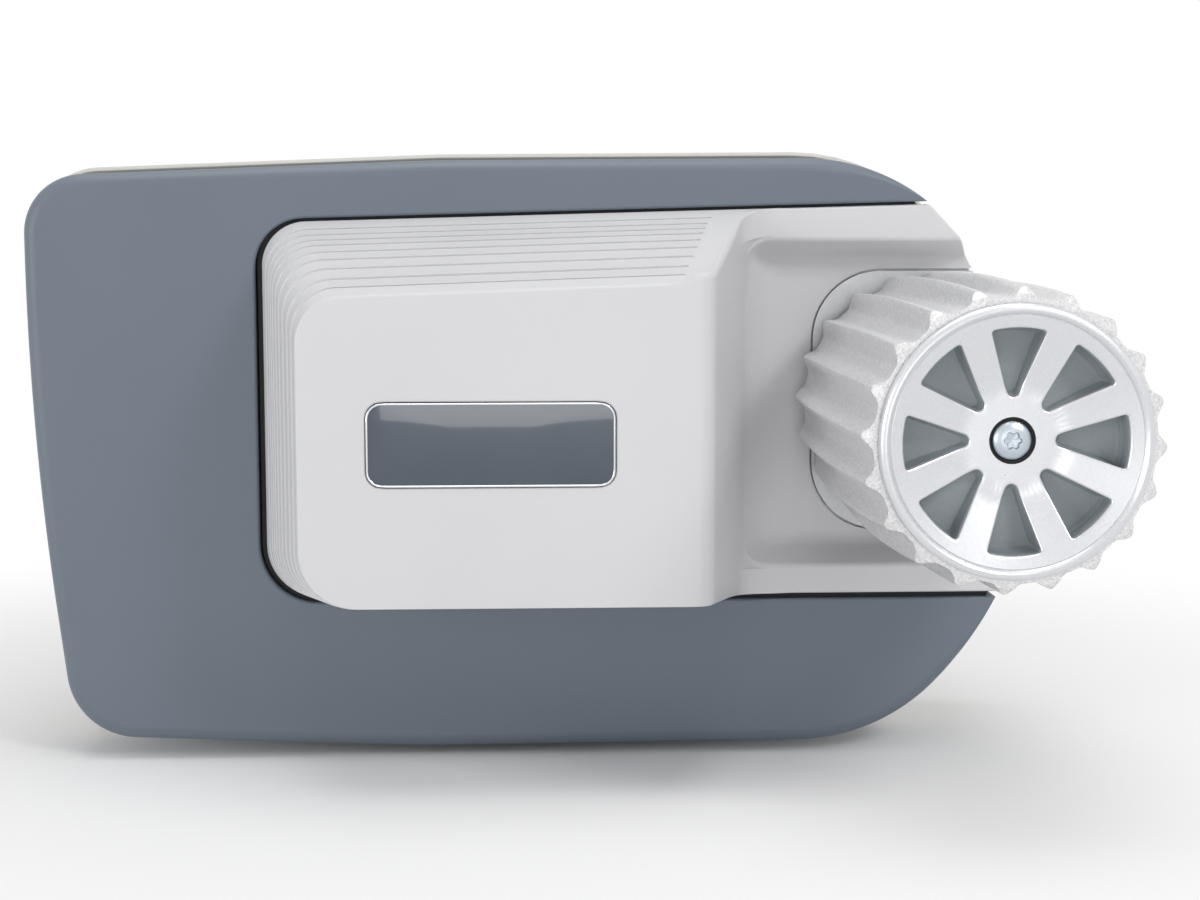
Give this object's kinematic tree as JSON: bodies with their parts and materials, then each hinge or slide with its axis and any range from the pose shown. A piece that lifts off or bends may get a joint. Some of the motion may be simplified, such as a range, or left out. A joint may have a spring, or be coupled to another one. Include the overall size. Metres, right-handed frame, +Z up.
{
  "type": "caravan motor mover",
  "caption": "Caravan mover unit: a drive unit with ridged roller slides out of a two-part housing on guide rods to press on the tyre and turn the wheel.",
  "frame": {"origin": "middle of the four chassis bolts, on the mounting face", "axes": "+X towards the tyre, the way the drive unit slides out; +Y inboard, out of the mounting face; +Z up"},
  "size_m": [0.4254, 0.312, 0.2501],
  "materials": {
    "cover_dark": "satin, fine moulded grain",
    "shell_grey": "matt",
    "drive_grey": "satin",
    "badge_blue": "gloss",
    "cap_blue": "satin",
    "black_plastic": "matt",
    "rubber": "matt",
    "painted_steel": "satin black",
    "steel": "ground",
    "silver_cast": "cast and painted silver",
    "roller_alu": "bare extrusion",
    "bronze": "sintered",
    "copper": "lacquered winding",
    "magnet": "matt"
  },
  "bodies": {
    "housing": {"front_cover": "cover_dark", "rear_shell": "shell_grey", "cover_gasket": "rubber", "slot_seal": "rubber", "slot_shield": "black_plastic", "base_plate": "steel", "guide_rod_upper": "steel", "guide_rod_lower": "steel", "rod_clips": "steel", "mount_plate": "painted_steel", "plate_screws": "steel", "captive_nuts": "steel", "crossbar_spigot": "painted_steel", "case_screws": "steel", "engage_motor": "steel", "engage_gearhead": "painted_steel", "engage_bracket": "steel", "screw_block": "steel", "cable_glands": "black_plastic", "terminal_block": "black_plastic", "limit_switches": "black_plastic"},
    "carriage": {"drive_cover": "drive_grey", "badge_plate": "badge_blue", "gearbox_casting": "silver_cast", "gearbox_lid": "silver_cast", "lid_screws": "steel", "cover_screws": "steel", "bearing_outer_rings": "steel", "shaft_seal": "rubber", "shaft_bushes": "bronze", "guide_bushes": "bronze", "drive_nut": "bronze", "motor_can": "painted_steel", "motor_end_cap": "black_plastic", "motor_magnets": "magnet", "motor_brushes": "copper", "motor_screws": "steel"},
    "roller": {"roller_sleeve": "roller_alu", "roller_shaft": "steel", "roller_key": "steel", "hub_nut": "steel", "cap_spider": "silver_cast", "cap_backing": "cap_blue", "cap_screw": "steel", "cap_ring": "rubber", "output_wheel": "steel", "wheel_clip": "steel", "bearing_inner_rings": "steel"},
    "second_layshaft": {"second_wheel": "steel", "second_shaft": "steel"},
    "first_layshaft": {"first_wheel": "steel", "first_shaft": "steel"},
    "rotor": {"motor_armature": "copper", "motor_shaft": "steel"},
    "spindle": {"lead_screw": "steel", "screw_coupling": "steel"}
  },
  "joints": [
    {"name": "carriage_slide", "type": "slide", "parent": "housing", "child": "carriage", "axis": [1, 0, 0], "range_m": [0, 0.045]},
    {"name": "roller_spin", "type": "hinge", "parent": "carriage", "child": "roller", "pos_m": [0.162, -0.1, 0.021], "axis": [0, 1, 0], "continuous": true},
    {"name": "second_spin", "type": "hinge", "parent": "carriage", "child": "second_layshaft", "pos_m": [0.118, -0.1, 0.021], "axis": [0, 1, 0], "continuous": true},
    {"name": "first_spin", "type": "hinge", "parent": "carriage", "child": "first_layshaft", "pos_m": [0.0655, -0.1, 0.021], "axis": [0, 1, 0], "continuous": true},
    {"name": "motor_spin", "type": "hinge", "parent": "carriage", "child": "rotor", "pos_m": [0.0175, -0.1, 0.021], "axis": [0, 1, 0], "continuous": true},
    {"name": "spindle_spin", "type": "hinge", "parent": "housing", "child": "spindle", "pos_m": [-0.05, -0.054, -0.089], "axis": [1, 0, 0], "range_deg": [0, 3241]}
  ],
  "couplings": [
    {"joint": "second_spin", "follows": "roller_spin", "ratio": -2.6667},
    {"joint": "first_spin", "follows": "roller_spin", "ratio": 10.667},
    {"joint": "motor_spin", "follows": "roller_spin", "ratio": -46.222},
    {"joint": "spindle_spin", "follows": "carriage_slide", "rad_per_m": 1256.6}
  ]
}
